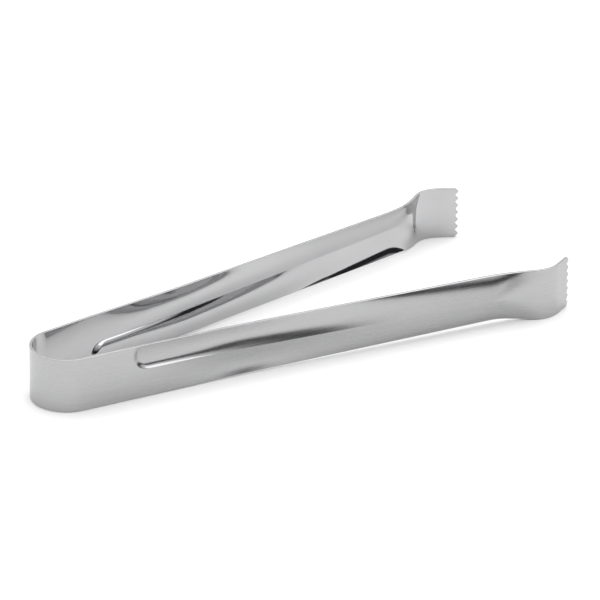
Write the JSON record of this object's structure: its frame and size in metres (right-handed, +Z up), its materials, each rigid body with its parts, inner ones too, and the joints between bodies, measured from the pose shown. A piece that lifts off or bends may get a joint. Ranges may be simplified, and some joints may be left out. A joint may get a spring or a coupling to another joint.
{
  "type": "ice tongs",
  "caption": "One-piece spring tongs for ice: a steel strip on edge, bent into a U bow, with fluted arms ending in flared, serrated jaws.",
  "frame": {"origin": "middle of the footprint, on the table that the strip's lower edge stands on", "axes": "+X from the bow to the jaws, +Y towards the left arm, +Z up across the strip's width"},
  "size_m": [0.179, 0.0708, 0.0178],
  "materials": {
    "stainless_steel": "satin outside, mirror polished inside"
  },
  "bodies": {
    "bow": {"bow_crown": "stainless_steel"},
    "left_bow_side": {"left_bow_side": "stainless_steel"},
    "left_strap": {"left_strap": "stainless_steel"},
    "left_arm": {"left_arm_root": "stainless_steel", "left_arm": "stainless_steel", "left_flare": "stainless_steel", "left_jaw": "stainless_steel"},
    "right_bow_side": {"right_bow_side": "stainless_steel"},
    "right_strap": {"right_strap": "stainless_steel"},
    "right_arm": {"right_arm_root": "stainless_steel", "right_arm": "stainless_steel", "right_flare": "stainless_steel", "right_jaw": "stainless_steel"}
  },
  "joints": [
    {"name": "squeeze", "type": "hinge", "parent": "bow", "child": "right_bow_side", "pos_m": [-0.0858, -0.00792, 0.0089], "axis": [0, 0, 1], "range_deg": [0, 3.42], "stiffness_Nm_per_rad": 125},
    {"name": "right_side_bend", "type": "hinge", "parent": "right_bow_side", "child": "right_strap", "pos_m": [-0.07899, -0.01114, 0.0089], "axis": [0, 0, 1], "range_deg": [0, 3.42]},
    {"name": "right_strap_bend", "type": "hinge", "parent": "right_strap", "child": "right_arm", "pos_m": [-0.06554, -0.01249, 0.0089], "axis": [0, 0, 1], "range_deg": [0, 3.42]},
    {"name": "left_bow_bend", "type": "hinge", "parent": "bow", "child": "left_bow_side", "pos_m": [-0.0858, 0.00792, 0.0089], "axis": [0, 0, -1], "range_deg": [0, 3.42]},
    {"name": "left_side_bend", "type": "hinge", "parent": "left_bow_side", "child": "left_strap", "pos_m": [-0.07899, 0.01114, 0.0089], "axis": [0, 0, -1], "range_deg": [0, 3.42]},
    {"name": "left_strap_bend", "type": "hinge", "parent": "left_strap", "child": "left_arm", "pos_m": [-0.06554, 0.01249, 0.0089], "axis": [0, 0, -1], "range_deg": [0, 3.42]}
  ],
  "couplings": [
    {"joint": "right_side_bend", "follows": "squeeze", "ratio": 1},
    {"joint": "right_strap_bend", "follows": "squeeze", "ratio": 1},
    {"joint": "left_bow_bend", "follows": "squeeze", "ratio": 1},
    {"joint": "left_side_bend", "follows": "squeeze", "ratio": 1},
    {"joint": "left_strap_bend", "follows": "squeeze", "ratio": 1}
  ]
}
